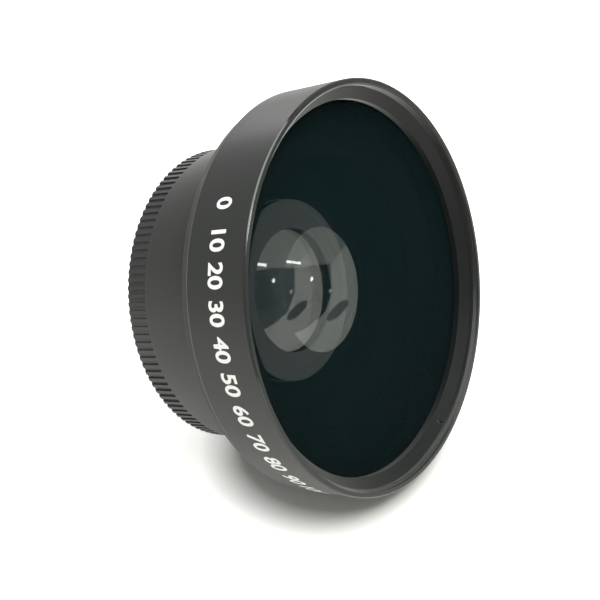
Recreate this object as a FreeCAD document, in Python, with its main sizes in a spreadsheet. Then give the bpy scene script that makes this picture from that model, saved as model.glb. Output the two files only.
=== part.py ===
import FreeCAD, Part
import Sketcher
import math
import os
import re

# Wide-angle conversion lens with a macro section, in millimetres.
# The optical axis is the Y axis and the front glass looks along -Y.
# The origin is the centre of the shoulder behind the knurled ring, where
# the lens seats on the camera lens that carries it.
# Profiles measure depth from the plane of the front rim towards the rear.

SIZES = {
    # barrel with its neck
    "rim_radius": 37.25,
    "rim_break": 0.25,
    "rim_wall": 1.25,
    "mouth_chamfer": 0.3,
    "relief_lead": 0.1,
    "relief_depth": 0.5,
    "ring_ledge": 0.5,
    "glass_ledge": 0.44,
    "glass_plane": 4.3,
    "barrel_depth": 14.6,
    "barrel_taper": 0.53,
    "bevel_length": 2.05,
    "bevel_drop": 1.1,
    "neck_step": 6.75,
    "neck_cove": 0.9,
    "neck_length": 15.7,
    "neck_taper": 2.2,
    "neck_wall": 1.3,
    "cell_stop_depth": 17.0,
    "cell_stop_width": 1.5,
    "thread_fit": 0.08,
    # front glass
    "glass_fit": 0.06,
    "front_land": 1.5,
    "front_rise": 2.5,
    "front_centre": 2.6,
    "hollow_radius": 25.0,
    "hollow_rise": 5.1,
    # dished ring that holds the front glass
    "ring_recess": 1.6,
    "ring_dish": 1.5,
    "ring_width": 2.02,
    "ring_flange": 1.4,
    "ring_flange_gap": 0.1,
    "notch_width": 0.7,
    "notch_length": 1.3,
    "notch_cut": 0.9,
    "notch_angle": -76.5,
    # inner glass, with a step at its rear edge, and the ring on that step
    "field_radius": 11.6,
    "field_reach": 6.8,
    "field_front_rise": 0.35,
    "field_step_width": 1.6,
    "field_step_height": 1.0,
    "field_rear_rise": 0.35,
    "field_ring_height": 1.0,
    "field_ring_width": 3.3,
    # cell of the inner glass
    "boss_wall": 2.1,
    "boss_height": 2.2,
    "cell_plate": 1.4,
    "field_lip_height": 1.5,
    "field_lip_width": 1.5,
    # macro section
    "spigot_length": 3.9,
    "knurl_step": 0.3,
    "knurl_length": 4.9,
    "knurl_break": 0.2,
    "groove_front": 0.25,
    "groove_width": 0.75,
    "groove_cut": 0.35,
    "seat_width": 2.0,
    "rear_thread_length": 2.2,
    "rear_thread_chamfer": 0.3,
    "rear_thread_wall": 2.3,
    "macro_lip_height": 2.6,
    "macro_lip_width": 1.7,
    "macro_edge": 2.2,
    "macro_front_rise": 2.6,
    "macro_rear_rise": 1.7,
    "macro_ring_height": 1.6,
}
GROOVE_COUNT = 120
NOTCH_COUNT = 2

doc = FreeCAD.newDocument("conversion_lens")
sizes = doc.addObject("Spreadsheet::Sheet", "Sizes")
for row, (alias, value) in enumerate(SIZES.items(), start=1):
    sizes.set(f"A{row}", alias)
    sizes.set(f"B{row}", str(value))
    sizes.setAlias(f"B{row}", alias)
doc.recompute()

# Radii, from the rim inwards
MOUTH = "(rim_radius - rim_wall)"
RELIEF = f"({MOUTH} + relief_depth)"
RING_OUTER = f"({MOUTH} - thread_fit)"
RING_INNER = f"({RING_OUTER} - ring_width)"
RING_SCREW = f"({MOUTH} - ring_ledge)"
GLASS_POCKET = f"({RING_SCREW} - glass_ledge)"
FRONT_GLASS = f"({GLASS_POCKET} - glass_fit)"
FRONT_CLEAR = f"({FRONT_GLASS} - front_land)"
NECK_FRONT = "(rim_radius - neck_step)"
NECK_REAR = f"({NECK_FRONT} - neck_taper)"
NECK_BORE = f"({NECK_REAR} - neck_wall)"
SPIGOT = f"({NECK_BORE} - thread_fit)"
CELL_STOP = f"({NECK_BORE} - cell_stop_width)"
FIELD_STEP = "(field_radius + field_step_width)"
FIELD_POCKET = f"({FIELD_STEP} + glass_fit)"
FIELD_CLEAR = f"({FIELD_STEP} - field_lip_width)"
FIELD_RING_INNER = "(field_radius + glass_fit)"
FIELD_RING_OUTER = f"({FIELD_RING_INNER} + field_ring_width)"
BOSS_BORE = f"({FIELD_RING_OUTER} + thread_fit)"
BOSS = f"({BOSS_BORE} + boss_wall)"
KNURL = f"({NECK_REAR} - knurl_step)"
REAR_THREAD = f"({KNURL} - seat_width)"
MACRO_BORE = f"({REAR_THREAD} - rear_thread_wall)"
MACRO_CLEAR = f"({MACRO_BORE} - macro_lip_width)"
MACRO_GLASS = f"({MACRO_BORE} - glass_fit)"

# Depths, from the rim rearwards
SEAM = "(barrel_depth + neck_length)"
SEAT = f"({SEAM} + knurl_length)"
THREAD_END = f"({SEAT} + rear_thread_length)"
RELIEF_FRONT = "(ring_recess - relief_lead)"
FLANGE_REAR = "(ring_recess + ring_flange)"
RELIEF_REAR = f"({FLANGE_REAR} + ring_flange_gap)"
FRONT_VERTEX = "(glass_plane - front_rise)"
HOLLOW_VERTEX = f"({FRONT_VERTEX} + front_centre)"
SHELF = f"({HOLLOW_VERTEX} + hollow_rise)"
BOSS_FRONT = "(cell_stop_depth + boss_height)"
FIELD_STEP_PLANE = f"({BOSS_FRONT} + thread_fit + field_ring_height)"
FIELD_SEAT = f"({FIELD_STEP_PLANE} + field_step_height)"
CELL_REAR = f"({FIELD_SEAT} + field_lip_height)"
CELL_PLATE_FRONT = f"({CELL_REAR} - cell_plate)"
FIELD_VERTEX = f"({BOSS_FRONT} - field_reach)"
SPIGOT_FRONT = f"({SEAM} - spigot_length)"
MACRO_SEAT = f"({SPIGOT_FRONT} + macro_lip_height)"
MACRO_REAR = f"({MACRO_SEAT} + macro_edge)"
MACRO_RING_REAR = f"({MACRO_REAR} + macro_ring_height)"


def curve_of(radius, rise):
    """Radius of the sphere that rises by this much from an edge of this radius."""
    return f"({radius}^2 + {rise}^2) / (2 * {rise})"


def value_of(text):
    """Number that an expression in the words of the sheet gives."""
    return float(sizes.evalExpression(text))


def bound(text):
    """The same expression, as another object of the document writes it."""
    return re.sub(r"\b(?!sqrt\b)[a-z]\w*", r"Sizes.\g<0>", text)


def origin_feature(body, role):
    return next(item for item in body.Origin.OriginFeatures if item.Role == role)


def new_sketch(body, name, role):
    sketch = body.newObject("Sketcher::SketchObject", name)
    sketch.AttachmentSupport = (origin_feature(body, role), [""])
    sketch.MapMode = "FlatFace"
    return sketch


def bind(sketch, constraint, text):
    """Add a driven dimension and tie it to the sheet."""
    index = sketch.addConstraint(constraint)
    sketch.setExpression(f"Constraints[{index}]", bound(text))


def place_corner(sketch, edge, end, depth, radius):
    """Hold one end of an edge at a depth behind the rim and a radius off the axis."""
    if depth == "0":
        sketch.addConstraint(Sketcher.Constraint("PointOnObject", edge, end, -2))
    else:
        bind(sketch, Sketcher.Constraint("DistanceX", -1, 1, edge, end, value_of(depth)), depth)
    if radius == "0":
        sketch.addConstraint(Sketcher.Constraint("PointOnObject", edge, end, -1))
    else:
        bind(sketch, Sketcher.Constraint("DistanceY", -1, 1, edge, end, value_of(radius)), radius)


def arc_between(start, end, curve, centre_side):
    """Arc from start to end whose centre lies to the rear or to the front of the chord."""
    chord = end - start
    middle = (start + end) * 0.5
    height = math.sqrt(curve ** 2 - (chord.Length / 2) ** 2)
    across = FreeCAD.Vector(-chord.y, chord.x, 0).normalize() * height
    centres = sorted((middle + across, middle - across), key=lambda point: point.x)
    centre = centres[1] if centre_side == "rear" else centres[0]
    first = math.atan2(start.y - centre.y, start.x - centre.x)
    last = math.atan2(end.y - centre.y, end.x - centre.x)
    counterclockwise = (last - first) % (2 * math.pi) < math.pi
    if not counterclockwise:
        first, last = last, first
    circle = Part.Circle(centre, FreeCAD.Vector(0, 0, 1), curve)
    return Part.ArcOfCircle(circle, first, last), counterclockwise


def turned(name, corners):
    """Body turned about the optical axis.

    Each corner is (depth, radius), or (depth, radius, curve, centre_side)
    where an arc of radius curve leads from it to the next corner.
    """
    body = doc.addObject("PartDesign::Body", name)
    body.Label = name
    sketch = new_sketch(body, name + "_profile", "YZ_Plane")
    sketch.setExpression("AttachmentOffset.Base.x", bound(f"-{SEAT}"))
    points = [FreeCAD.Vector(value_of(c[0]), value_of(c[1]), 0) for c in corners]
    ends = []
    for index, corner in enumerate(corners):
        start = points[index]
        finish = points[(index + 1) % len(points)]
        if len(corner) == 2:
            sketch.addGeometry(Part.LineSegment(start, finish))
            ends.append((1, 2))
        else:
            arc, forward = arc_between(start, finish, value_of(corner[2]), corner[3])
            sketch.addGeometry(arc)
            ends.append((1, 2) if forward else (2, 1))
    for index, corner in enumerate(corners):
        following = (index + 1) % len(corners)
        sketch.addConstraint(
            Sketcher.Constraint("Coincident", index, ends[index][1], following, ends[following][0])
        )
        place_corner(sketch, index, ends[index][0], corner[0], corner[1])
        if len(corner) > 2:
            bind(sketch, Sketcher.Constraint("Radius", index, value_of(corner[2])), corner[2])
    turn = body.newObject("PartDesign::Revolution", name + "_turned")
    turn.Profile = sketch
    turn.ReferenceAxis = (sketch, ["H_Axis"])
    turn.Angle = 360
    body.Tip = turn
    return body


def repeat_about_axis(body, feature, count):
    """Copies of a cut, evenly spaced about the optical axis."""
    pattern = body.newObject("PartDesign::PolarPattern", feature.Name + "_pattern")
    pattern.Originals = [feature]
    pattern.Axis = (origin_feature(body, "Y_Axis"), [""])
    pattern.Angle = 360
    pattern.Occurrences = count
    body.Tip = pattern


def spanner_notches(body, depth, outer, towards_rear):
    """Two slots in a ring's outer edge, cut from the plane at this depth."""
    doc.recompute()
    sketch = new_sketch(body, body.Label + "_notch_outline", "XZ_Plane")
    sketch.setExpression("AttachmentOffset.Base.z", bound(f"{SEAT} - {depth}"))
    sketch.setExpression("AttachmentOffset.Rotation.Angle", bound("notch_angle"))
    inner_text = f"{outer} - notch_length"
    outer_text = f"{outer} + thread_fit"
    half = value_of("notch_width / 2")
    inner_end = value_of(inner_text)
    outer_end = value_of(outer_text)
    corners = [
        FreeCAD.Vector(inner_end, -half, 0),
        FreeCAD.Vector(outer_end, -half, 0),
        FreeCAD.Vector(outer_end, half, 0),
        FreeCAD.Vector(inner_end, half, 0),
    ]
    for index, corner in enumerate(corners):
        sketch.addGeometry(Part.LineSegment(corner, corners[(index + 1) % 4]))
    for index in range(4):
        sketch.addConstraint(Sketcher.Constraint("Coincident", index, 2, (index + 1) % 4, 1))
    sketch.addConstraint(Sketcher.Constraint("Horizontal", 0))
    sketch.addConstraint(Sketcher.Constraint("Vertical", 1))
    sketch.addConstraint(Sketcher.Constraint("Horizontal", 2))
    sketch.addConstraint(Sketcher.Constraint("Symmetric", 3, 1, 3, 2, -1))
    bind(sketch, Sketcher.Constraint("DistanceY", 1, 1, 1, 2, 2 * half), "notch_width")
    bind(sketch, Sketcher.Constraint("DistanceX", -1, 1, 0, 1, inner_end), inner_text)
    bind(sketch, Sketcher.Constraint("DistanceX", -1, 1, 1, 1, outer_end), outer_text)
    notch = body.newObject("PartDesign::Pocket", body.Label + "_notch")
    notch.Profile = sketch
    notch.Reversed = not towards_rear
    notch.setExpression("Length", bound("notch_cut"))
    body.Tip = notch
    doc.recompute()
    repeat_about_axis(body, notch, NOTCH_COUNT)


def wide_barrel():
    return turned("wide_barrel", [
        ("0", f"{MOUTH} + mouth_chamfer"),
        ("0", "rim_radius - rim_break"),
        ("rim_break", "rim_radius"),
        ("barrel_depth - bevel_length", "rim_radius - barrel_taper"),
        ("barrel_depth", "rim_radius - barrel_taper - bevel_drop"),
        ("barrel_depth", f"{NECK_FRONT} + neck_cove", "neck_cove", "rear"),
        ("barrel_depth + neck_cove", NECK_FRONT),
        (SEAM, NECK_REAR),
        (SEAM, NECK_BORE),
        ("cell_stop_depth", NECK_BORE),
        ("cell_stop_depth", CELL_STOP),
        (SHELF, CELL_STOP),
        (SHELF, GLASS_POCKET),
        ("glass_plane", GLASS_POCKET),
        ("glass_plane", RING_SCREW),
        (RELIEF_REAR, RING_SCREW),
        (RELIEF_REAR, RELIEF),
        (RELIEF_FRONT, RELIEF),
        (RELIEF_FRONT, MOUTH),
        ("mouth_chamfer", MOUTH),
    ])


def front_element():
    return turned("front_element", [
        (FRONT_VERTEX, "0", curve_of(FRONT_CLEAR, "front_rise"), "rear"),
        ("glass_plane", FRONT_CLEAR),
        ("glass_plane", FRONT_GLASS),
        (SHELF, FRONT_GLASS),
        (SHELF, "hollow_radius", curve_of("hollow_radius", "hollow_rise"), "rear"),
        (HOLLOW_VERTEX, "0"),
    ])


def front_retaining_ring():
    body = turned("front_retaining_ring", [
        ("ring_recess", RING_OUTER),
        (FLANGE_REAR, RING_OUTER),
        (FLANGE_REAR, f"{RING_SCREW} - thread_fit"),
        ("glass_plane", f"{RING_SCREW} - thread_fit"),
        ("glass_plane", RING_INNER),
        ("ring_recess + ring_dish", RING_INNER),
    ])
    spanner_notches(body, "ring_recess", RING_OUTER, towards_rear=True)
    return body


def inner_cell():
    return turned("inner_cell", [
        ("cell_stop_depth", CELL_STOP),
        ("cell_stop_depth", SPIGOT),
        (CELL_REAR, SPIGOT),
        (CELL_REAR, FIELD_CLEAR),
        (FIELD_SEAT, FIELD_CLEAR),
        (FIELD_SEAT, FIELD_POCKET),
        (FIELD_STEP_PLANE, FIELD_POCKET),
        (FIELD_STEP_PLANE, BOSS_BORE),
        (BOSS_FRONT, BOSS_BORE),
        (BOSS_FRONT, BOSS),
        (CELL_PLATE_FRONT, BOSS),
        (CELL_PLATE_FRONT, CELL_STOP),
    ])


def field_element():
    return turned("field_element", [
        (FIELD_VERTEX, "0", curve_of("field_radius", "field_front_rise"), "rear"),
        (f"{FIELD_VERTEX} + field_front_rise", "field_radius"),
        (FIELD_STEP_PLANE, "field_radius"),
        (FIELD_STEP_PLANE, FIELD_STEP),
        (FIELD_SEAT, FIELD_STEP),
        (FIELD_SEAT, FIELD_CLEAR, curve_of(FIELD_CLEAR, "field_rear_rise"), "rear"),
        (f"{FIELD_SEAT} - field_rear_rise", "0"),
    ])


def field_retaining_ring():
    return turned("field_retaining_ring", [
        (f"{FIELD_STEP_PLANE} - field_ring_height", FIELD_RING_INNER),
        (f"{FIELD_STEP_PLANE} - field_ring_height", FIELD_RING_OUTER),
        (FIELD_STEP_PLANE, FIELD_RING_OUTER),
        (FIELD_STEP_PLANE, FIELD_RING_INNER),
    ])


def macro_barrel():
    body = turned("macro_barrel", [
        (SPIGOT_FRONT, MACRO_CLEAR),
        (SPIGOT_FRONT, SPIGOT),
        (SEAM, SPIGOT),
        (SEAM, f"{KNURL} - knurl_break"),
        (f"{SEAM} + knurl_break", KNURL),
        (f"{SEAT} - knurl_break", KNURL),
        (SEAT, f"{KNURL} - knurl_break"),
        (SEAT, REAR_THREAD),
        (f"{THREAD_END} - rear_thread_chamfer", REAR_THREAD),
        (THREAD_END, f"{REAR_THREAD} - rear_thread_chamfer"),
        (THREAD_END, MACRO_BORE),
        (MACRO_SEAT, MACRO_BORE),
        (MACRO_SEAT, MACRO_CLEAR),
    ])
    doc.recompute()
    # one knurl groove: round at the front, open at the rear shoulder
    sketch = new_sketch(body, "groove_outline", "XY_Plane")
    sketch.setExpression("AttachmentOffset.Base.y", bound("-knurl_length"))
    sketch.setExpression("AttachmentOffset.Base.z", bound(KNURL))
    centre_text = "knurl_break + groove_front + groove_width / 2"
    rear_text = "knurl_length + groove_width"
    half = value_of("groove_width / 2")
    centre = value_of(centre_text)
    rear = value_of(rear_text)
    corners = [
        FreeCAD.Vector(half, centre, 0),
        FreeCAD.Vector(half, rear, 0),
        FreeCAD.Vector(-half, rear, 0),
        FreeCAD.Vector(-half, centre, 0),
    ]
    for index in range(3):
        sketch.addGeometry(Part.LineSegment(corners[index], corners[index + 1]))
    end_circle = Part.Circle(FreeCAD.Vector(0, centre, 0), FreeCAD.Vector(0, 0, 1), half)
    sketch.addGeometry(Part.ArcOfCircle(end_circle, math.pi, 2 * math.pi))
    for index in range(4):
        sketch.addConstraint(Sketcher.Constraint("Coincident", index, 2, (index + 1) % 4, 1))
    sketch.addConstraint(Sketcher.Constraint("Vertical", 0))
    sketch.addConstraint(Sketcher.Constraint("Vertical", 2))
    sketch.addConstraint(Sketcher.Constraint("Symmetric", 1, 1, 1, 2, -2))
    sketch.addConstraint(Sketcher.Constraint("PointOnObject", 3, 3, -2))
    sketch.addConstraint(Sketcher.Constraint("Tangent", 0, 1, 3, 2))
    bind(sketch, Sketcher.Constraint("DistanceX", 1, 2, 1, 1, 2 * half), "groove_width")
    bind(sketch, Sketcher.Constraint("DistanceY", -1, 1, 3, 3, centre), centre_text)
    bind(sketch, Sketcher.Constraint("DistanceY", -1, 1, 0, 2, rear), rear_text)
    groove = body.newObject("PartDesign::Pocket", "groove")
    groove.Profile = sketch
    groove.setExpression("Length", bound("groove_cut"))
    body.Tip = groove
    doc.recompute()
    repeat_about_axis(body, groove, GROOVE_COUNT)
    return body


def macro_element():
    return turned("macro_element", [
        (f"{MACRO_SEAT} - macro_front_rise", "0", curve_of(MACRO_CLEAR, "macro_front_rise"), "rear"),
        (MACRO_SEAT, MACRO_CLEAR),
        (MACRO_SEAT, MACRO_GLASS),
        (MACRO_REAR, MACRO_GLASS),
        (MACRO_REAR, MACRO_CLEAR, curve_of(MACRO_CLEAR, "macro_rear_rise"), "front"),
        (f"{MACRO_REAR} + macro_rear_rise", "0"),
    ])


def macro_retaining_ring():
    body = turned("macro_retaining_ring", [
        (MACRO_REAR, MACRO_CLEAR),
        (MACRO_REAR, f"{MACRO_BORE} - thread_fit"),
        (MACRO_RING_REAR, f"{MACRO_BORE} - thread_fit"),
        (MACRO_RING_REAR, MACRO_CLEAR),
    ])
    spanner_notches(body, MACRO_RING_REAR, f"({MACRO_BORE} - thread_fit)", towards_rear=False)
    return body


parts = [
    wide_barrel(),
    front_element(),
    front_retaining_ring(),
    inner_cell(),
    field_element(),
    field_retaining_ring(),
    macro_barrel(),
    macro_element(),
    macro_retaining_ring(),
]
doc.recompute()

for item in doc.Objects:
    if "Invalid" in item.State or "Error" in item.State:
        raise RuntimeError(f"{item.Name} is {item.State}")

os.makedirs("parts", exist_ok=True)
for part in parts:
    if part.Shape.isNull() or not part.Shape.isValid():
        raise RuntimeError(f"{part.Label} has no valid shape")
    part.Shape.exportStep(f"parts/{part.Label}.step")
    box = part.Shape.BoundBox
    front_face = box.YMin + value_of(SEAT)
    rear_face = box.YMax + value_of(SEAT)
    print(f"{part.Label}: {part.Shape.Volume / 1000:.2f} cm3, depth {front_face:.2f} to {rear_face:.2f}")
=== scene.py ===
import math
import bmesh
import bpy
from mathutils import Matrix, Vector


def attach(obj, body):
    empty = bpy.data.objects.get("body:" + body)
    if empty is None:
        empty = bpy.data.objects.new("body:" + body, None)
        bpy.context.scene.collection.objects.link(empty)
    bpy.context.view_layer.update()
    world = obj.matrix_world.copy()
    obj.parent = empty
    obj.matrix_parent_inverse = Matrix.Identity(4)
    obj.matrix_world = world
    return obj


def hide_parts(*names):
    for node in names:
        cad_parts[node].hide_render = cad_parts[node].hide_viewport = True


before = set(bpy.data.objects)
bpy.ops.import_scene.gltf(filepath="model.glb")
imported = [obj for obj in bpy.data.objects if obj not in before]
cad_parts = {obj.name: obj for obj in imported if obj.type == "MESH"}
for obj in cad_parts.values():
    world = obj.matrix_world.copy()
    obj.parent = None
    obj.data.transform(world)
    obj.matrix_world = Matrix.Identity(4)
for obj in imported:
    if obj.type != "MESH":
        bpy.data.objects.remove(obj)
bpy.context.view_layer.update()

# Sizes in millimetres. The optical axis is Y, and depth is measured from the
# plane of the front rim towards the rear.
SEAM = 30.3
SEAT = 35.2
THREAD_END = 37.4
RIM = 37.25
RIM_BREAK = 0.25
MOUTH = 36.0
RELIEF = 36.5
RELIEF_FRONT = 1.5
RELIEF_REAR = 3.1
RING_SCREW = 35.5
FLANGE_REAR = 3.0
RING_RECESS = 1.6
GLASS_PLANE = 4.3
GLASS_POCKET = 35.06
FRONT_GLASS = 35.0
FRONT_CLEAR = 33.5
FRONT_RISE = 2.5
FRONT_VERTEX = GLASS_PLANE - FRONT_RISE
FRONT_THICKNESS = 2.6
HOLLOW_VERTEX = FRONT_VERTEX + FRONT_THICKNESS
HOLLOW_RISE = 5.1
HOLLOW_RADIUS = 25.0
SHELF = HOLLOW_VERTEX + HOLLOW_RISE
RING_OUTER = 35.92
RING_INNER = 33.9
RING_DISH = 1.5
NOTCH_ANGLE = -76.5
BARREL_DEPTH = 14.6
BARREL_TAPER = 0.53
BEVEL_FRONT = 12.55
BEVEL_DROP = 1.1
NECK_FRONT = 30.5
NECK_REAR = 28.3
NECK_COVE = 0.9
NECK_BORE = 27.0
SPIGOT = 26.92
CELL_STOP_DEPTH = 17.0
CELL_STOP = 25.5
BOSS_FRONT = 19.2
BOSS = 17.14
FIELD_RADIUS = 11.6
FIELD_VERTEX = 12.4
FIELD_RISE = 0.35
FIELD_STEP_PLANE = 20.28
FIELD_SEAT = 21.28
FIELD_STEP = 13.2
FIELD_CLEAR = 11.7
FIELD_RING_OUTER = 14.96
CELL_REAR = 22.78
CELL_PLATE_FRONT = 21.38
SPIGOT_FRONT = 26.4
KNURL = 28.0
KNURL_BREAK = 0.2
GROOVES = 120
GROOVE_WIDTH = 0.75
GROOVE_CUT = 0.35
GROOVE_FRONT = 0.25
REAR_THREAD = 26.0
MACRO_BORE = 23.7
MACRO_CLEAR = 22.0
MACRO_GLASS = 23.64
MACRO_SEAT = 29.0
MACRO_REAR = 31.2
MACRO_RING_REAR = 32.8
MACRO_FRONT_RISE = 2.6
MACRO_REAR_RISE = 1.7

# Threads, with their shape in parts of the pitch
PITCH = 0.75
MOUTH_THREAD_HEIGHT = 0.28
REAR_THREAD_HEIGHT = 0.42
SPIGOT_THREAD_HEIGHT = 0.3
FLANK = 0.44
CREST = 0.06
RUN_OUT = 0.4

# Small edges, and the clearances of threads and glass in their seats
HAIR_EDGE = 0.03
FINE_EDGE = 0.05
RIM_EDGE = 0.08
CELL_EDGE = 0.1
SOFT_EDGE = 0.12
BOSS_EDGE = 0.15
WEAR_AND_HIGHLIGHT_EDGE = 0.25
THREAD_FIT = 0.08
GLASS_FIT = 0.06
SKIN = 0.03
MOUTH_CHAMFER = 0.3
FIELD_RING_HEIGHT = 1.0
FIELD_RING_THREAD = 0.07
UNDER_KNURL = 0.8
SPIGOT_LAP = 0.2
THREAD_LAP = 0.6

# Bands at edges where one finish ends, and the slack of a face that lies on a plane
CELL_BAND = 0.2
BOSS_BAND = 0.3
SLACK = 0.01

# Spanner notches
NOTCH_WIDTH = 0.7
NOTCH_LENGTH = 1.3
NOTCH_CUT = 0.9
NOTCH_OVERSHOOT = 0.5
NOTCH_OPEN = 0.2

# Numbers round the barrel, where the photographed one has a line of white characters
NUMBER_LOW = 7.7
NUMBER_HEIGHT = 3.1
NUMBER_COUNT = 11
NUMBER_WEIGHT = 0.028
FIRST_NUMBER = 130.0
NUMBER_STEP = 9.2

# Meshes: steps of curves, share of a side that a fillet takes, distance of the extra points
# beside corners, and the angle in degrees from which an edge is sharp
TURNS = 288
THREAD_STEPS = 144
DOME_STEPS = 24
ARC_STEPS = 8
COVE_STEPS = 6
FILLET_STEPS = 4
FILLET_SHARE = 0.45
HOLD = 0.05
SMOOTH_ANGLE = 32


# Shapes

def place(depth, radius, angle):
    """Point in metres at a depth, a radius and an angle in radians from +X towards +Z."""
    return Vector((radius * math.cos(angle), depth - SEAT, radius * math.sin(angle))) / 1000


def rounded(corners):
    """Outline of (depth, radius) points with each (depth, radius, fillet) corner rounded."""
    points = []
    for index, corner in enumerate(corners):
        here = Vector(corner[:2])
        if len(corner) < 3:
            points.append(here)
            continue
        before = Vector(corners[index - 1][:2]) - here
        after = Vector(corners[(index + 1) % len(corners)][:2]) - here
        limit = min(before.length, after.length) * FILLET_SHARE
        cut = min(corner[2] / math.tan(before.angle(after) / 2), limit)
        first = here + before.normalized() * cut
        last = here + after.normalized() * cut
        for step in range(FILLET_STEPS + 1):
            share = step / FILLET_STEPS
            points.append(first.lerp(here, share).lerp(here.lerp(last, share), share))
    return points


def held(points):
    """The same outline with extra points beside its corners, so that flat faces shade flat."""
    result = []
    for index, point in enumerate(points):
        following = points[(index + 1) % len(points)]
        result.append(point)
        run = following - point
        if run.length > 5 * HOLD:
            result.append(point + run.normalized() * HOLD)
            result.append(following - run.normalized() * HOLD)
    return result


def dome(edge_depth, edge_radius, rise):
    """Points from the axis to the edge of a dome that stands towards the front by its rise."""
    curve = (edge_radius ** 2 + rise ** 2) / (2 * rise)
    points = []
    for step in range(DOME_STEPS + 1):
        radius = edge_radius * step / DOME_STEPS
        depth = edge_depth - rise + curve - math.sqrt(curve ** 2 - radius ** 2)
        points.append(Vector((depth, radius)))
    return points


def new_object(name, verts, faces):
    """Piece in the scene from points in metres and the faces between them."""
    mesh = bpy.data.meshes.new(name)
    mesh.from_pydata([tuple(v) for v in verts], [], faces)
    mesh.validate()
    piece = bpy.data.objects.new(name, mesh)
    bpy.context.scene.collection.objects.link(piece)
    tidy_normals(mesh)
    return piece


def tidy_normals(mesh):
    """Outward faces, shaded smooth except across real edges."""
    work = bmesh.new()
    work.from_mesh(mesh)
    bmesh.ops.remove_doubles(work, verts=work.verts, dist=1e-7)
    bmesh.ops.recalc_face_normals(work, faces=work.faces)
    work.to_mesh(mesh)
    work.free()
    mesh.shade_smooth()
    mesh.set_sharp_from_angle(angle=math.radians(SMOOTH_ANGLE))


def turned(name, outline, closed=True):
    """Piece turned about the optical axis from an outline of (depth, radius) points."""
    verts = []
    rows = []
    for depth, radius in outline:
        if radius < 1e-6:
            rows.append([len(verts)] * TURNS)
            verts.append(place(depth, 0, 0))
        else:
            rows.append(list(range(len(verts), len(verts) + TURNS)))
            verts.extend(place(depth, radius, 2 * math.pi * k / TURNS) for k in range(TURNS))
    faces = []
    for index in range(len(rows) if closed else len(rows) - 1):
        here = rows[index]
        there = rows[(index + 1) % len(rows)]
        for k in range(TURNS):
            loop = (here[k], here[(k + 1) % TURNS], there[(k + 1) % TURNS], there[k])
            loop = tuple(dict.fromkeys(loop))
            if len(loop) > 2:
                faces.append(loop)
    return new_object(name, verts, faces)


def thread(name, root, crest, first, last):
    """Helical ridge between two depths, running out to nothing at its ends."""
    turns = (last - first - 2 * RUN_OUT * PITCH) / PITCH
    count = round(turns * THREAD_STEPS)
    fade = THREAD_STEPS // 8
    verts = []
    for step in range(count + 1):
        angle = -2 * math.pi * step / THREAD_STEPS
        middle = first + PITCH * (RUN_OUT + step / THREAD_STEPS)
        height = min(1, step / fade, (count - step) / fade)
        top = root + (crest - root) * height
        for depth, radius in (
            (middle - PITCH * FLANK, root),
            (middle - PITCH * CREST, top),
            (middle + PITCH * CREST, top),
            (middle + PITCH * FLANK, root),
        ):
            verts.append(place(depth, radius, angle))
    faces = []
    for step in range(count):
        for side in range(3):
            here = step * 4 + side
            faces.append((here, here + 1, here + 5, here + 4))
    return new_object(name, verts, faces)


def cut_away(piece, cutters):
    """Subtract the cutters from the piece and delete them."""
    for cutter in cutters:
        step = piece.modifiers.new("cut", "BOOLEAN")
        step.operation = "DIFFERENCE"
        step.solver = "EXACT"
        step.object = cutter
    bpy.context.view_layer.update()
    graph = bpy.context.evaluated_depsgraph_get()
    mesh = bpy.data.meshes.new_from_object(piece.evaluated_get(graph))
    piece.modifiers.clear()
    piece.data = mesh
    for cutter in cutters:
        bpy.data.objects.remove(cutter, do_unlink=True)
    tidy_normals(mesh)


def notch_cutter(angle, outer, front, rear):
    """Round-ended cutter for a spanner notch in the outer edge of a ring."""
    half = NOTCH_WIDTH / 2
    across = [(-half, outer + NOTCH_OPEN), (half, outer + NOTCH_OPEN)]
    for step in range(ARC_STEPS + 1):
        turn = math.pi * step / ARC_STEPS
        across.append((half * math.cos(turn), outer - NOTCH_LENGTH + half * (1 - math.sin(turn))))
    verts = []
    for depth in (front, rear):
        for side, radius in across:
            verts.append(place(depth, math.hypot(radius, side), angle + math.atan2(side, radius)))
    count = len(across)
    faces = [tuple(range(count)), tuple(reversed(range(count, 2 * count)))]
    for index in range(count):
        after = (index + 1) % count
        faces.append((index, after, after + count, index + count))
    return new_object("cutter", verts, faces)


def cut_notches(ring, outer, front, rear):
    """Two spanner notches, half a turn apart, in the outer edge of a ring."""
    angles = [math.radians(NOTCH_ANGLE + turn) for turn in (0, 180)]
    cut_away(ring, [notch_cutter(angle, outer, front, rear) for angle in angles])


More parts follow.
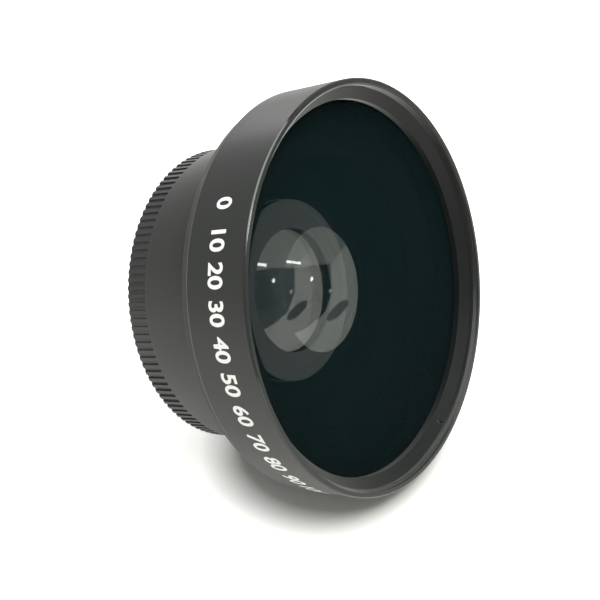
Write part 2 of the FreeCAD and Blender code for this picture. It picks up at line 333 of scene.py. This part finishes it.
def knurl_band():
    """Outside of the knurled ring: grooves round at the front and open at the rear."""
    pitch = 2 * math.pi * KNURL / GROOVES
    front = SEAM + KNURL_BREAK
    side_end = SEAT - KNURL_BREAK
    half = GROOVE_WIDTH / 2
    centre = front + GROOVE_FRONT + half
    arc = [math.pi * step / ARC_STEPS for step in range(ARC_STEPS + 1)]

    def slot(reach, radius):
        points = [(reach, SEAT, min(radius, KNURL - KNURL_BREAK)), (reach, side_end, radius)]
        points += [(reach * math.cos(a), centre - reach * math.sin(a), radius) for a in arc]
        points += [(-reach, side_end, radius), (-reach, SEAT, min(radius, KNURL - KNURL_BREAK))]
        return points

    wide = pitch / 2
    border = [(wide, SEAT, KNURL - KNURL_BREAK), (wide, side_end, KNURL)]
    border += [(wide, centre, KNURL), (wide, (centre + front) / 2, KNURL), (wide, front, KNURL)]
    border += [(wide / 2, front, KNURL), (0, front, KNURL), (-wide / 2, front, KNURL)]
    border += [(-wide, front, KNURL), (-wide, (centre + front) / 2, KNURL), (-wide, centre, KNURL)]
    border += [(-wide, side_end, KNURL), (-wide, SEAT, KNURL - KNURL_BREAK)]
    bottom = KNURL - GROOVE_CUT
    rails = [
        border,
        slot(half + FINE_EDGE, KNURL),
        slot(half, KNURL - FINE_EDGE),
        slot(half, bottom + FINE_EDGE),
        slot(half - FINE_EDGE, bottom),
    ]
    middle = [(0, max(min(depth, SEAT), centre), bottom) for _, depth, _ in rails[-1]]
    middle[0] = middle[-1] = (0, SEAT, bottom)
    rails.append(middle)
    across = [wide, wide / 2, 0, -wide / 2, -wide]
    front_rows = [
        [(x, front, KNURL) for x in across],
        [(x, SEAM, KNURL - KNURL_BREAK) for x in across],
        [(x, SEAM, SPIGOT - SPIGOT_LAP) for x in across],
    ]
    rear_outer = [rail[0] for rail in rails] + [rail[-1] for rail in reversed(rails[:-1])]
    rear_rows = [rear_outer, [(x, SEAT, REAR_THREAD - THREAD_LAP) for x, _, _ in rear_outer]]
    verts = []
    faces = []
    for groove in range(GROOVES):
        turn = 2 * math.pi * (groove + 0.5) / GROOVES
        for rows in (rails, front_rows, rear_rows):
            base = len(verts)
            width = len(rows[0])
            for row in rows:
                verts.extend(place(depth, radius, turn + x / KNURL) for x, depth, radius in row)
            for line in range(len(rows) - 1):
                for k in range(width - 1):
                    here = base + line * width + k
                    faces.append((here, here + 1, here + width + 1, here + width))
    return new_object("knurl_band", verts, faces)


def barrel_radius(depth):
    """Outside radius of the tapered barrel."""
    return RIM - BARREL_TAPER * (depth - RIM_BREAK) / (BEVEL_FRONT - RIM_BREAK)


def embolden(mesh, amount):
    """Widen the strokes of flat lettering by a band round its outlines."""
    work = bmesh.new()
    work.from_mesh(mesh)
    bmesh.ops.remove_doubles(work, verts=work.verts, dist=1e-5)
    outline = [edge for edge in work.edges if len(edge.link_faces) == 1]
    sides = {}
    for edge in outline:
        loop = edge.link_loops[0]
        run = loop.link_loop_next.vert.co - loop.vert.co
        side = run.cross(loop.face.normal).normalized()
        for vert in edge.verts:
            sides.setdefault(vert.index, []).append(side)
    work.verts.ensure_lookup_table()
    places = {}
    for index, near in sides.items():
        away = sum(near, Vector()).normalized()
        reach = amount / max(0.6, away.dot(near[0]))
        places[index] = work.verts.new(work.verts[index].co + away * reach)
        work.verts.ensure_lookup_table()
    for edge in outline:
        loop = edge.link_loops[0]
        first = loop.vert
        last = loop.link_loop_next.vert
        work.faces.new((last, first, places[first.index], places[last.index]))
    work.to_mesh(mesh)
    work.free()


def numeral(text, angle, low_depth, height):
    """Number laid round the barrel, its top towards the front rim."""
    letters = bpy.data.curves.new("number_" + text, "FONT")
    letters.body = text
    letters.size = 1
    letters.align_x = "CENTER"
    letters.resolution_u = 6
    source = bpy.data.objects.new("number_source", letters)
    bpy.context.scene.collection.objects.link(source)
    bpy.context.view_layer.update()
    graph = bpy.context.evaluated_depsgraph_get()
    mesh = bpy.data.meshes.new_from_object(source.evaluated_get(graph))
    bpy.data.objects.remove(source, do_unlink=True)
    bpy.data.curves.remove(letters)
    embolden(mesh, NUMBER_WEIGHT)
    top = max(v.co.y for v in mesh.vertices)
    scale = height / top
    for vertex in mesh.vertices:
        depth = low_depth - vertex.co.y * scale
        radius = barrel_radius(depth)
        vertex.co = place(depth, radius, angle + vertex.co.x * scale / radius)
    mesh.name = "number_" + text
    piece = bpy.data.objects.new("number_" + text, mesh)
    bpy.context.scene.collection.objects.link(piece)
    return piece


# Materials

BUMP_DEPTH = 0.00002
CLOUD_SCALE = 60
GRAIN_SCALE = 9000
LINE_SCALE = 7000
SPECKLE_SCALE = 4000
FIBRE_SCALE = 400
TONE_SCALE = 25
SMEAR_SCALE = 160
ROUGH_DRIFT = 0.05
GLASS_ROUGH = 0.02


def new_material(name):
    """Material with its nodes, its links and its main shader."""
    material = bpy.data.materials.new(name)
    material.use_nodes = True
    nodes = material.node_tree.nodes
    shader = nodes["Principled BSDF"]
    return material, nodes, material.node_tree.links, shader


def noise(nodes, links, vector, scale, detail=3):
    """Noise of a scale, mostly between 0.3 and 0.7."""
    node = nodes.new("ShaderNodeTexNoise")
    node.inputs["Scale"].default_value = scale
    node.inputs["Detail"].default_value = detail
    links.new(vector, node.inputs["Vector"])
    return node.outputs["Fac"]


def spread(nodes, links, value, low, high, start=0.3, end=0.7):
    """From low to high as the value goes from start to end."""
    node = nodes.new("ShaderNodeMapRange")
    node.inputs["From Min"].default_value = start
    node.inputs["From Max"].default_value = end
    node.inputs["To Min"].default_value = low
    node.inputs["To Max"].default_value = high
    links.new(value, node.inputs["Value"])
    return node.outputs["Result"]


def tint(nodes, links, value, dark, light):
    """Colour between a dark and a light one by a value."""
    node = nodes.new("ShaderNodeMix")
    node.data_type = "RGBA"
    node.inputs[6].default_value = (*dark, 1)
    node.inputs[7].default_value = (*light, 1)
    links.new(value, node.inputs[0])
    return node.outputs[2]


def bumped(nodes, links, height, strength, before=None):
    """Normal for a small relief, laid over an earlier one where it is given."""
    node = nodes.new("ShaderNodeBump")
    node.inputs["Strength"].default_value = strength
    node.inputs["Distance"].default_value = BUMP_DEPTH
    links.new(height, node.inputs["Height"])
    if before is not None:
        links.new(before, node.inputs["Normal"])
    return node.outputs["Normal"]


def turning_lines(nodes, links, coords):
    """Fine rings left by the lathe: a noise that changes with depth and radius only."""
    split = nodes.new("ShaderNodeSeparateXYZ")
    links.new(coords, split.inputs["Vector"])
    square_x = nodes.new("ShaderNodeMath")
    square_x.operation = "MULTIPLY"
    links.new(split.outputs["X"], square_x.inputs[0])
    links.new(split.outputs["X"], square_x.inputs[1])
    square_sum = nodes.new("ShaderNodeMath")
    square_sum.operation = "MULTIPLY_ADD"
    links.new(split.outputs["Z"], square_sum.inputs[0])
    links.new(split.outputs["Z"], square_sum.inputs[1])
    links.new(square_x.outputs[0], square_sum.inputs[2])
    root = nodes.new("ShaderNodeMath")
    root.operation = "SQRT"
    links.new(square_sum.outputs[0], root.inputs[0])
    join = nodes.new("ShaderNodeCombineXYZ")
    links.new(root.outputs[0], join.inputs["X"])
    links.new(split.outputs["Y"], join.inputs["Y"])
    return noise(nodes, links, join.outputs["Vector"], LINE_SCALE, detail=2)


def black_metal(
    name, dark, light, rough, grain, lines=0.0, specular=0.5, sheen=0.0, metallic=0.0,
):
    """Black anodised aluminium: fine blasted grain, cloudy gloss and faint turning lines."""
    material, nodes, links, shader = new_material(name)
    coords = nodes.new("ShaderNodeTexCoord").outputs["Object"]
    clouds = noise(nodes, links, coords, CLOUD_SCALE, detail=5)
    fine = noise(nodes, links, coords, GRAIN_SCALE, detail=2)
    links.new(tint(nodes, links, clouds, dark, light), shader.inputs["Base Color"])
    gloss = spread(nodes, links, clouds, rough - ROUGH_DRIFT, rough + ROUGH_DRIFT)
    links.new(gloss, shader.inputs["Roughness"])
    shader.inputs["Specular IOR Level"].default_value = specular
    shader.inputs["Metallic"].default_value = metallic
    shader.inputs["Sheen Weight"].default_value = sheen
    shader.inputs["Sheen Roughness"].default_value = 0.35
    normal = bumped(nodes, links, fine, grain)
    if lines:
        normal = bumped(nodes, links, turning_lines(nodes, links, coords), lines, normal)
    links.new(normal, shader.inputs["Normal"])
    return material


def coated_glass(name, dark, light, alpha, specular=0.5, metallic=0.0):
    """Coated glass seen as a thin surface: the coating's tone drifts slightly."""
    material, nodes, links, shader = new_material(name)
    coords = nodes.new("ShaderNodeTexCoord").outputs["Object"]
    clouds = noise(nodes, links, coords, TONE_SCALE, detail=2)
    smear = noise(nodes, links, coords, SMEAR_SCALE, detail=4)
    links.new(tint(nodes, links, clouds, dark, light), shader.inputs["Base Color"])
    gloss = spread(nodes, links, smear, GLASS_ROUGH, 2 * GLASS_ROUGH)
    links.new(gloss, shader.inputs["Roughness"])
    shader.inputs["Alpha"].default_value = alpha
    shader.inputs["Specular IOR Level"].default_value = specular
    shader.inputs["Metallic"].default_value = metallic
    return material


ANODISED = ((0.012, 0.014, 0.012), (0.016, 0.018, 0.016))
SATIN = black_metal("black_satin", *ANODISED, 0.4, 0.25, specular=0.38, sheen=0.15)
NECK = black_metal("black_neck", *ANODISED, 0.4, 0.25, specular=0.3, sheen=0.12)
DULL = black_metal("black_bevel", *ANODISED, 0.5, 0.25, specular=0.1)
EDGE = black_metal(
    "black_edge", (0.009, 0.011, 0.009), (0.012, 0.014, 0.012), 0.2, 0.1, specular=0.28,
)
BRIGHT = black_metal(
    "bright_edge", (0.05, 0.054, 0.05), (0.07, 0.075, 0.07), 0.12, 0.1, metallic=1.0,
)
# Front edge of the barrel's bevel: lighter than the anodising, partly edge wear and partly a
# painted highlight along the edge
EDGE_WEAR_AND_HIGHLIGHT = black_metal("edge_wear_and_painted_highlight", (0.02, 0.022, 0.02), (0.036, 0.038, 0.034), 0.3, 0.2)
KNURLED = black_metal(
    "black_knurl", (0.014, 0.015, 0.014), (0.019, 0.02, 0.019), 0.38, 0.2, sheen=0.1,
)
TURNED = black_metal(
    "black_ring", (0.004, 0.005, 0.005), (0.006, 0.007, 0.007), 0.42, 0.1, 0.4, specular=0.2,
)
MATT = black_metal(
    "black_inner", (0.002, 0.002, 0.002), (0.003, 0.003, 0.003), 0.8, 0.0, specular=0.0,
)
BOSS_PAINT = black_metal(
    "black_boss", (0.005, 0.006, 0.005), (0.008, 0.009, 0.008), 0.5, 0.3, specular=0.2,
)
GREY = black_metal(
    "grey_card", (0.74, 0.77, 0.73), (0.78, 0.8, 0.76), 0.8, 0.1, specular=0.0,
)
CARD = black_metal(
    "black_card", (0.004, 0.004, 0.004), (0.005, 0.005, 0.005), 0.8, 0.1, specular=0.0,
)
FRONT_COAT = coated_glass(
    "front_coat", (0.024, 0.062, 0.066), (0.028, 0.07, 0.074), 0.12, specular=0.0,
)
HOLLOW_COAT = coated_glass(
    "hollow_coat", (0.02, 0.05, 0.055), (0.024, 0.06, 0.065), 0.02, specular=0.0,
)
FIELD_COAT = coated_glass(
    "field_coat", (0.86, 0.9, 0.84), (0.92, 0.94, 0.9), 0.069, metallic=1.0,
)
REAR_COAT = coated_glass(
    "rear_coat", (0.88, 0.88, 0.84), (0.94, 0.93, 0.9), 0.078, metallic=1.0,
)
CLEAR = coated_glass("clear_edge", (0.3, 0.32, 0.3), (0.34, 0.36, 0.34), 0.02)
# Macro glass drawn nearly opaque and near black: painted shade for the dark inside of the lens,
# where clear glass would show the floor
MACRO_SHADE = coated_glass(
    "macro_glass_painted_shade", (0.003, 0.005, 0.006), (0.004, 0.007, 0.008), 0.9, specular=0.05,
)


def white_filling():
    """White paint of the numbers, slightly speckled."""
    material, nodes, links, shader = new_material("white_filling")
    coords = nodes.new("ShaderNodeTexCoord").outputs["Object"]
    speckle = noise(nodes, links, coords, SPECKLE_SCALE)
    paint = tint(nodes, links, speckle, (0.78, 0.79, 0.76), (0.9, 0.9, 0.88))
    links.new(paint, shader.inputs["Base Color"])
    links.new(bumped(nodes, links, speckle, 0.2), shader.inputs["Normal"])
    shader.inputs["Roughness"].default_value = 0.55
    return material


WHITE = white_filling()


def finish_piece(piece, material, slot, body, *nodes):
    """Give a piece its material and body, and hide the CAD nodes that it stands for. The slot is
    not used.
    """
    piece.data.materials.clear()
    piece.data.materials.append(material)
    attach(piece, body)
    if nodes:
        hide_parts(*nodes)


def assign(piece, rules):
    """Give faces another material where a rule on their depth and radius holds."""
    materials = piece.data.materials
    for face in piece.data.polygons:
        depth = face.center.y * 1000 + SEAT
        radius = math.hypot(face.center.x, face.center.z) * 1000
        for material, holds in rules:
            if holds(depth, radius):
                if material.name not in materials:
                    materials.append(material)
                face.material_index = materials.find(material.name)
                break


# Wide section

cove = [
    Vector((
        BARREL_DEPTH + NECK_COVE * (1 - math.cos(a)),
        NECK_FRONT + NECK_COVE * (1 - math.sin(a)),
    ))
    for a in (math.pi / 2 * step / COVE_STEPS for step in range(COVE_STEPS + 1))
]
barrel_rear = RIM - SKIN - BARREL_TAPER
barrel_outline = [
    (0, MOUTH + MOUTH_CHAMFER, FINE_EDGE),
    (0, RIM - RIM_BREAK, RIM_EDGE),
    (RIM_BREAK, RIM - SKIN, SOFT_EDGE),
    (BEVEL_FRONT, barrel_rear, WEAR_AND_HIGHLIGHT_EDGE),
    (BARREL_DEPTH, barrel_rear - BEVEL_DROP, SOFT_EDGE),
    *[tuple(point) for point in cove],
    (SEAM, NECK_REAR, SOFT_EDGE),
    (SEAM, NECK_BORE, FINE_EDGE),
    (CELL_STOP_DEPTH, NECK_BORE),
    (CELL_STOP_DEPTH, CELL_STOP, FINE_EDGE),
    (SHELF, CELL_STOP, FINE_EDGE),
    (SHELF, GLASS_POCKET),
    (GLASS_PLANE, GLASS_POCKET),
    (GLASS_PLANE, RING_SCREW),
    (RELIEF_REAR, RING_SCREW),
    (RELIEF_REAR, RELIEF),
    (RELIEF_FRONT, RELIEF),
    (RELIEF_FRONT, MOUTH, HAIR_EDGE),
    (MOUTH_CHAMFER, MOUTH, FINE_EDGE),
]
barrel = turned("barrel", held(rounded(barrel_outline)))
finish_piece(barrel, SATIN, "black_satin", "wide_section", "wide_barrel")
assign(barrel, [
    (BRIGHT, lambda depth, radius: depth < RIM_BREAK and radius > RIM - RIM_BREAK),
    (EDGE, lambda depth, radius: depth < 2 * RIM_BREAK and radius > MOUTH),
    # Band at the bevel's front edge: edge wear and a painted highlight
    (EDGE_WEAR_AND_HIGHLIGHT, lambda depth, radius: abs(depth - BEVEL_FRONT) < WEAR_AND_HIGHLIGHT_EDGE and radius > MOUTH),
    (DULL, lambda depth, radius: (
        BEVEL_FRONT < depth < BARREL_DEPTH - FINE_EDGE and radius > NECK_FRONT
    )),
    (MATT, lambda depth, radius: (
        GLASS_PLANE < depth < CELL_REAR and radius < NECK_BORE - CELL_EDGE
    )),
    (NECK, lambda depth, radius: depth > BARREL_DEPTH and radius > NECK_BORE),
])
mouth_thread = thread(
    "mouth_thread", MOUTH, MOUTH - MOUTH_THREAD_HEIGHT, MOUTH_CHAMFER, RELIEF_FRONT,
)
finish_piece(mouth_thread, SATIN, "black_satin", "wide_section")

ring = turned("dished_ring", held(rounded([
    (RING_RECESS, RING_OUTER, FINE_EDGE),
    (FLANGE_REAR, RING_OUTER),
    (FLANGE_REAR, RING_SCREW - THREAD_FIT),
    (GLASS_PLANE, RING_SCREW - THREAD_FIT),
    (GLASS_PLANE, RING_INNER),
    (RING_RECESS + RING_DISH, RING_INNER, SOFT_EDGE),
])))
cut_notches(ring, RING_OUTER, RING_RECESS - NOTCH_OVERSHOOT, RING_RECESS + NOTCH_CUT)
finish_piece(ring, TURNED, "black_ring", "wide_section", "front_retaining_ring")

cell = turned("cell", held(rounded([
    (CELL_STOP_DEPTH, CELL_STOP, CELL_EDGE),
    (CELL_STOP_DEPTH, SPIGOT),
    (CELL_REAR, SPIGOT, CELL_EDGE),
    (CELL_REAR, FIELD_CLEAR, CELL_EDGE),
    (FIELD_SEAT, FIELD_CLEAR, FINE_EDGE),
    (FIELD_SEAT, FIELD_STEP + GLASS_FIT),
    (FIELD_STEP_PLANE, FIELD_STEP + GLASS_FIT),
    (FIELD_STEP_PLANE, FIELD_RING_OUTER + THREAD_FIT),
    (BOSS_FRONT, FIELD_RING_OUTER + THREAD_FIT, RIM_EDGE),
    (BOSS_FRONT, BOSS, BOSS_EDGE),
    (CELL_PLATE_FRONT, BOSS, CELL_EDGE),
    (CELL_PLATE_FRONT, CELL_STOP, CELL_EDGE),
])))
finish_piece(cell, BOSS_PAINT, "black_inner", "wide_section", "inner_cell")
assign(cell, [
    (MATT, lambda depth, radius: depth < CELL_REAR - CELL_BAND and radius > BOSS + BOSS_BAND),
    (MATT, lambda depth, radius: depth > FIELD_STEP_PLANE and radius < BOSS),
])

field_ring_front = FIELD_STEP_PLANE - FIELD_RING_HEIGHT
field_ring_outer = FIELD_RING_OUTER + FIELD_RING_THREAD
field_ring_bore = FIELD_RADIUS + GLASS_FIT
field_ring = turned("field_ring", held(rounded([
    (field_ring_front, field_ring_bore, CELL_EDGE),
    (field_ring_front, field_ring_outer, FINE_EDGE),
    (FIELD_STEP_PLANE, field_ring_outer),
    (FIELD_STEP_PLANE, field_ring_bore),
])))
finish_piece(field_ring, BOSS_PAINT, "black_inner", "wide_section", "field_retaining_ring")
assign(field_ring, [(MATT, lambda depth, radius: radius < FIELD_RADIUS + CELL_EDGE)])

for index in range(NUMBER_COUNT):
    angle = math.radians(FIRST_NUMBER + NUMBER_STEP * index)
    number = numeral(str(index * 10), angle, NUMBER_LOW, NUMBER_HEIGHT)
    finish_piece(number, WHITE, "white_filling", "wide_section")

# Glass of the wide section

glass_side = held([Vector((GLASS_PLANE, FRONT_GLASS)), Vector((SHELF, FRONT_GLASS))])[:3]
hollow = dome(SHELF, HOLLOW_RADIUS, HOLLOW_RISE)[-2::-1]
front_face = turned("front_glass", [
    *dome(GLASS_PLANE, FRONT_CLEAR, FRONT_RISE),
    *glass_side,
    Vector((SHELF, HOLLOW_RADIUS)),
    *hollow,
], closed=False)
finish_piece(front_face, FRONT_COAT, "coated_glass", "wide_glass", "front_element")
assign(front_face, [
    (MATT, lambda depth, radius: depth > GLASS_PLANE + SLACK and radius > HOLLOW_RADIUS),
    (HOLLOW_COAT, lambda depth, radius: depth > GLASS_PLANE + SLACK),
])

field_dome_edge = FIELD_VERTEX + FIELD_RISE
field_glass = turned("field_glass", [
    *dome(field_dome_edge, FIELD_RADIUS, FIELD_RISE),
    Vector((FIELD_STEP_PLANE, FIELD_RADIUS)),
    Vector((FIELD_STEP_PLANE, FIELD_STEP)),
    Vector((FIELD_SEAT, FIELD_STEP)),
    Vector((FIELD_SEAT, FIELD_CLEAR)),
    *dome(FIELD_SEAT, FIELD_CLEAR, FIELD_RISE)[-2::-1],
], closed=False)
finish_piece(field_glass, FIELD_COAT, "coated_glass", "wide_glass", "field_element")
assign(field_glass, [
    (CLEAR, lambda depth, radius: field_dome_edge < depth < FIELD_SEAT - FIELD_RISE - SLACK),
    (CLEAR, lambda depth, radius: radius > FIELD_CLEAR - SLACK),
    (REAR_COAT, lambda depth, radius: depth > FIELD_STEP_PLANE),
])

# Macro section

spigot_root = SPIGOT - SPIGOT_THREAD_HEIGHT
rear_root = REAR_THREAD - REAR_THREAD_HEIGHT
macro_body = turned("macro_body", held(rounded([
    (SPIGOT_FRONT, MACRO_CLEAR, CELL_EDGE),
    (SPIGOT_FRONT, spigot_root, CELL_EDGE),
    (SEAM, spigot_root),
    (SEAM + CELL_EDGE, KNURL - UNDER_KNURL),
    (SEAT - CELL_EDGE, KNURL - UNDER_KNURL),
    (SEAT - CELL_EDGE, rear_root),
    (THREAD_END, rear_root, CELL_EDGE),
    (THREAD_END, MACRO_BORE, CELL_EDGE),
    (MACRO_SEAT, MACRO_BORE),
    (MACRO_SEAT, MACRO_CLEAR, FINE_EDGE),
])))
finish_piece(macro_body, KNURLED, "black_knurl", "macro_section", "macro_barrel")
finish_piece(knurl_band(), KNURLED, "black_knurl", "macro_section")
rear_thread = thread(
    "rear_thread", rear_root, REAR_THREAD, SEAT + FINE_EDGE, THREAD_END - CELL_EDGE,
)
finish_piece(rear_thread, KNURLED, "black_knurl", "macro_section")
spigot_thread = thread("spigot_thread", spigot_root, SPIGOT, SPIGOT_FRONT + CELL_EDGE, SEAM)
finish_piece(spigot_thread, KNURLED, "black_knurl", "macro_section")

macro_ring_outer = MACRO_BORE - THREAD_FIT
macro_ring = turned("macro_ring", held(rounded([
    (MACRO_REAR, MACRO_CLEAR),
    (MACRO_REAR, macro_ring_outer),
    (MACRO_RING_REAR, macro_ring_outer, CELL_EDGE),
    (MACRO_RING_REAR, MACRO_CLEAR, SOFT_EDGE),
])))
cut_notches(
    macro_ring, macro_ring_outer, MACRO_RING_REAR - NOTCH_CUT, MACRO_RING_REAR + NOTCH_OVERSHOOT,
)
finish_piece(macro_ring, TURNED, "black_ring", "macro_section", "macro_retaining_ring")

rear_dome = [
    Vector((2 * MACRO_REAR - depth, radius))
    for depth, radius in dome(MACRO_REAR, MACRO_CLEAR, MACRO_REAR_RISE)
]
macro_glass = turned("macro_glass", [
    *dome(MACRO_SEAT, MACRO_CLEAR, MACRO_FRONT_RISE),
    Vector((MACRO_SEAT, MACRO_GLASS)),
    Vector((MACRO_REAR, MACRO_GLASS)),
    *rear_dome[::-1],
], closed=False)
# Macro glass with painted shade: nearly opaque and near black
finish_piece(macro_glass, MACRO_SHADE, "coated_glass", "macro_section", "macro_element")

# Camera, as fitted to the photograph: places in millimetres in the part's frame

CAMERA_AT = Vector((-152.46, -149.48, 79.58))
CAMERA_RIGHT = Vector((0.52687, -0.79251, -0.30714))
CAMERA_UP = Vector((0.48397, -0.01733, 0.87491))
CAMERA_LENS = 69.25
camera_data = bpy.data.cameras.new("camera")
camera_data.sensor_width = 36
camera_data.lens = CAMERA_LENS
camera_data.clip_start = 0.01
camera_data.clip_end = 20
camera = bpy.data.objects.new("camera", camera_data)
bpy.context.scene.collection.objects.link(camera)
camera.matrix_world = Matrix.Translation(CAMERA_AT / 1000) @ Matrix(
    (CAMERA_RIGHT, CAMERA_UP, CAMERA_RIGHT.cross(CAMERA_UP))
).transposed().to_4x4()
bpy.context.scene.camera = camera

# Floor that the lens lies on, touching the barrel's rear edge and the knurled ring

TOUCH_FRONT = Vector((0, BEVEL_FRONT - SEAT, -(RIM - BARREL_TAPER)))
TOUCH_REAR = Vector((0, -KNURL_BREAK, -KNURL))
FLOOR_ALONG = (TOUCH_REAR - TOUCH_FRONT).normalized()
FLOOR_NORMAL = Vector((1, 0, 0)).cross(FLOOR_ALONG)
FLOOR_GAP = 0.1
FLOOR_HALF = 3000
FLOOR_AT = (TOUCH_FRONT + TOUCH_REAR) / 2 - FLOOR_NORMAL * FLOOR_GAP
# Painted glow of the floor: emission that is nothing near a point under the lens and full beyond a
# set distance, so that the lens's shadow ends at a painted edge
FLOOR_GLOW = 0.6
FLOOR_GLOSSY = 0.5
GLOW_RIGHT, GLOW_FRONT = -2.5, 3
GLOW_START = 0.0183
GLOW_END = 0.0265


def studio(right, front, up):
    """Point in metres from places on the floor, in millimetres from under the lens."""
    return (FLOOR_AT + Vector((right, 0, 0)) - FLOOR_ALONG * front + FLOOR_NORMAL * up) / 1000


def shown_share(nodes, links, glossy_share):
    """1 where the camera or a clear surface looks, a share of it in reflections, else 0."""
    path = nodes.new("ShaderNodeLightPath")
    glossy = nodes.new("ShaderNodeMath")
    glossy.operation = "MULTIPLY"
    glossy.inputs[1].default_value = glossy_share
    links.new(path.outputs["Is Glossy Ray"], glossy.inputs[0])
    shown = path.outputs["Is Camera Ray"]
    for other in (glossy.outputs[0], path.outputs["Is Transmission Ray"]):
        larger = nodes.new("ShaderNodeMath")
        larger.operation = "MAXIMUM"
        links.new(shown, larger.inputs[0])
        links.new(other, larger.inputs[1])
        shown = larger.outputs[0]
    return shown


def floor_material():
    """Pale paper with a painted glow: brought up to white outside a painted edge round the lens's
    shadow, and clear from behind.
    """
    material, nodes, links, shader = new_material("pale_paper")
    coords = nodes.new("ShaderNodeTexCoord").outputs["Object"]
    fibre = noise(nodes, links, coords, FIBRE_SCALE)
    paper = tint(nodes, links, fibre, (0.8, 0.8, 0.75), (0.83, 0.83, 0.78))
    links.new(paper, shader.inputs["Base Color"])
    shader.inputs["Roughness"].default_value = 0.9
    shader.inputs["Specular IOR Level"].default_value = 0.0
    # Painted glow, rising with the distance from a point under the lens: it paints where the
    # shadow ends
    away = nodes.new("ShaderNodeVectorMath")
    away.operation = "DISTANCE"
    away.inputs[1].default_value = studio(GLOW_RIGHT, GLOW_FRONT, 0)
    links.new(coords, away.inputs[0])
    rise = spread(nodes, links, away.outputs["Value"], 0.0, FLOOR_GLOW, GLOW_START, GLOW_END)
    painted_glow = nodes.new("ShaderNodeMath")
    painted_glow.operation = "MULTIPLY"
    links.new(shown_share(nodes, links, FLOOR_GLOSSY), painted_glow.inputs[0])
    links.new(rise, painted_glow.inputs[1])
    shader.inputs["Emission Color"].default_value = (1.0, 1.0, 0.985, 1)
    links.new(painted_glow.outputs[0], shader.inputs["Emission Strength"])
    clear = nodes.new("ShaderNodeBsdfTransparent")
    side = nodes.new("ShaderNodeNewGeometry")
    mix = nodes.new("ShaderNodeMixShader")
    links.new(side.outputs["Backfacing"], mix.inputs["Fac"])
    links.new(shader.outputs["BSDF"], mix.inputs[1])
    links.new(clear.outputs["BSDF"], mix.inputs[2])
    links.new(mix.outputs["Shader"], nodes["Material Output"].inputs["Surface"])
    return material


corners = [
    studio(right * FLOOR_HALF, front * FLOOR_HALF, 0)
    for right, front in ((-1, 1), (1, 1), (1, -1), (-1, -1))
]
floor_mesh = bpy.data.meshes.new("floor")
floor_mesh.from_pydata([tuple(c) for c in corners], [], [(0, 1, 2, 3)])
floor = bpy.data.objects.new("floor", floor_mesh)
bpy.context.scene.collection.objects.link(floor)
floor_mesh.materials.append(floor_material())

# Light: a soft pale room, three large lamps, and small ones that show in the glass

WORLD_LIGHT = 0.55
WORLD_SEEN = 1.0
WORLD_GLOSSY = 0.35
scene = bpy.context.scene
scene.view_settings.view_transform = "Standard"
world = bpy.data.worlds.new("studio")
scene.world = world
world.use_nodes = True
nodes = world.node_tree.nodes
links = world.node_tree.links
background = nodes["Background"]
background.inputs["Color"].default_value = (1, 1, 1, 1)
strength = nodes.new("ShaderNodeMapRange")
strength.inputs["To Min"].default_value = WORLD_LIGHT
strength.inputs["To Max"].default_value = WORLD_SEEN
links.new(shown_share(nodes, links, WORLD_GLOSSY), strength.inputs["Value"])
links.new(strength.outputs["Result"], background.inputs["Strength"])

LENS_MIDDLE = place(15, 0, 0)


def lamp(name, left, right, height, power):
    """Soft rectangular light from its left edge to its right one, turned to the lens."""
    along = (right - left).normalized()
    here = (left + right) / 2
    away = here - LENS_MIDDLE
    back = (away - along * away.dot(along)).normalized()
    data = bpy.data.lights.new(name, "AREA")
    data.shape = "RECTANGLE"
    data.size = (right - left).length
    data.size_y = height / 1000
    data.energy = power
    light = bpy.data.objects.new(name, data)
    scene.collection.objects.link(light)
    light.matrix_world = Matrix.Translation(here) @ Matrix(
        (along, back.cross(along), back)
    ).transposed().to_4x4()
    light.visible_camera = False


def flag(name, outline, material):
    """Card that only shows in the glass, as the things that stand round a real lens do."""
    mesh = bpy.data.meshes.new(name)
    mesh.from_pydata([tuple(point) for point in outline], [], [tuple(range(len(outline)))])
    card = bpy.data.objects.new(name, mesh)
    scene.collection.objects.link(card)
    mesh.materials.append(material)
    card.visible_camera = False
    card.visible_diffuse = False
    card.visible_shadow = False
    card.visible_transmission = False


# Name, left and right edge (right, front and up on the floor), height, power in watts
LAMPS = (
    ("overhead", (-450, 150, 900), (450, 150, 900), 900, 10),
    ("key", (-340, 500, 830), (-180, 390, 880), 150, 2),
    ("back_window", (1050, -450, 450), (500, -1000, 450), 350, 2),
    ("strip", (170.5, 232.7, 62.5), (203.6, 212.8, 29.2), 2, 0.0055),
    ("small_lamp", (108.7, 111.9, 23.3), (110.3, 110.7, 23.3), 1.6, 0.0002),
    ("point_lamp", (110.2, 100.9, 10.9), (111.4, 99.7, 10.9), 1.4, 0.00003),
)
for name, left, right, height, power in LAMPS:
    lamp(name, studio(*left), studio(*right), height, power)

# The curved front glass of a real lens bends the reflections of the inner glass past the rim.
# This thin one doesn't, so they pass through the pieces round it.
for piece in (barrel, mouth_thread, ring, front_face, cell, field_ring):
    piece.visible_glossy = False

# Dark card that stands before the lens, the pale wall behind it, and a small dark leaf
CARD_OUTLINE = (
    (155.3, 127.2, 15.4), (136, 121.8, 4.5), (120, 123, 0.3), (110, 127, 2), (101, 130.5, 3.6),
    (94.5, 134, 6.5), (91.2, 137, 11.4), (99.4, 137.7, 25), (111.6, 147.2, 44),
)
WALL_OUTLINE = ((430, -400, -1), (200, 420, -1), (200, 420, 500), (430, -400, 500))
LEAF_AT = Vector((88.9, 80.2, 5.2))
LEAF_LONG = Vector((7.3, -4.4, -0.7))
LEAF_WIDE = Vector((1.2, -0.6, -2.7))
LEAF_STEPS = 24
leaf_outline = [
    LEAF_AT + LEAF_LONG * math.cos(a) + LEAF_WIDE * math.sin(a)
    for a in (2 * math.pi * step / LEAF_STEPS for step in range(LEAF_STEPS))
]
flag("card", [studio(*point) for point in CARD_OUTLINE], CARD)
flag("wall", [studio(*point) for point in WALL_OUTLINE], GREY)
flag("leaf", [studio(*point) for point in leaf_outline], CARD)
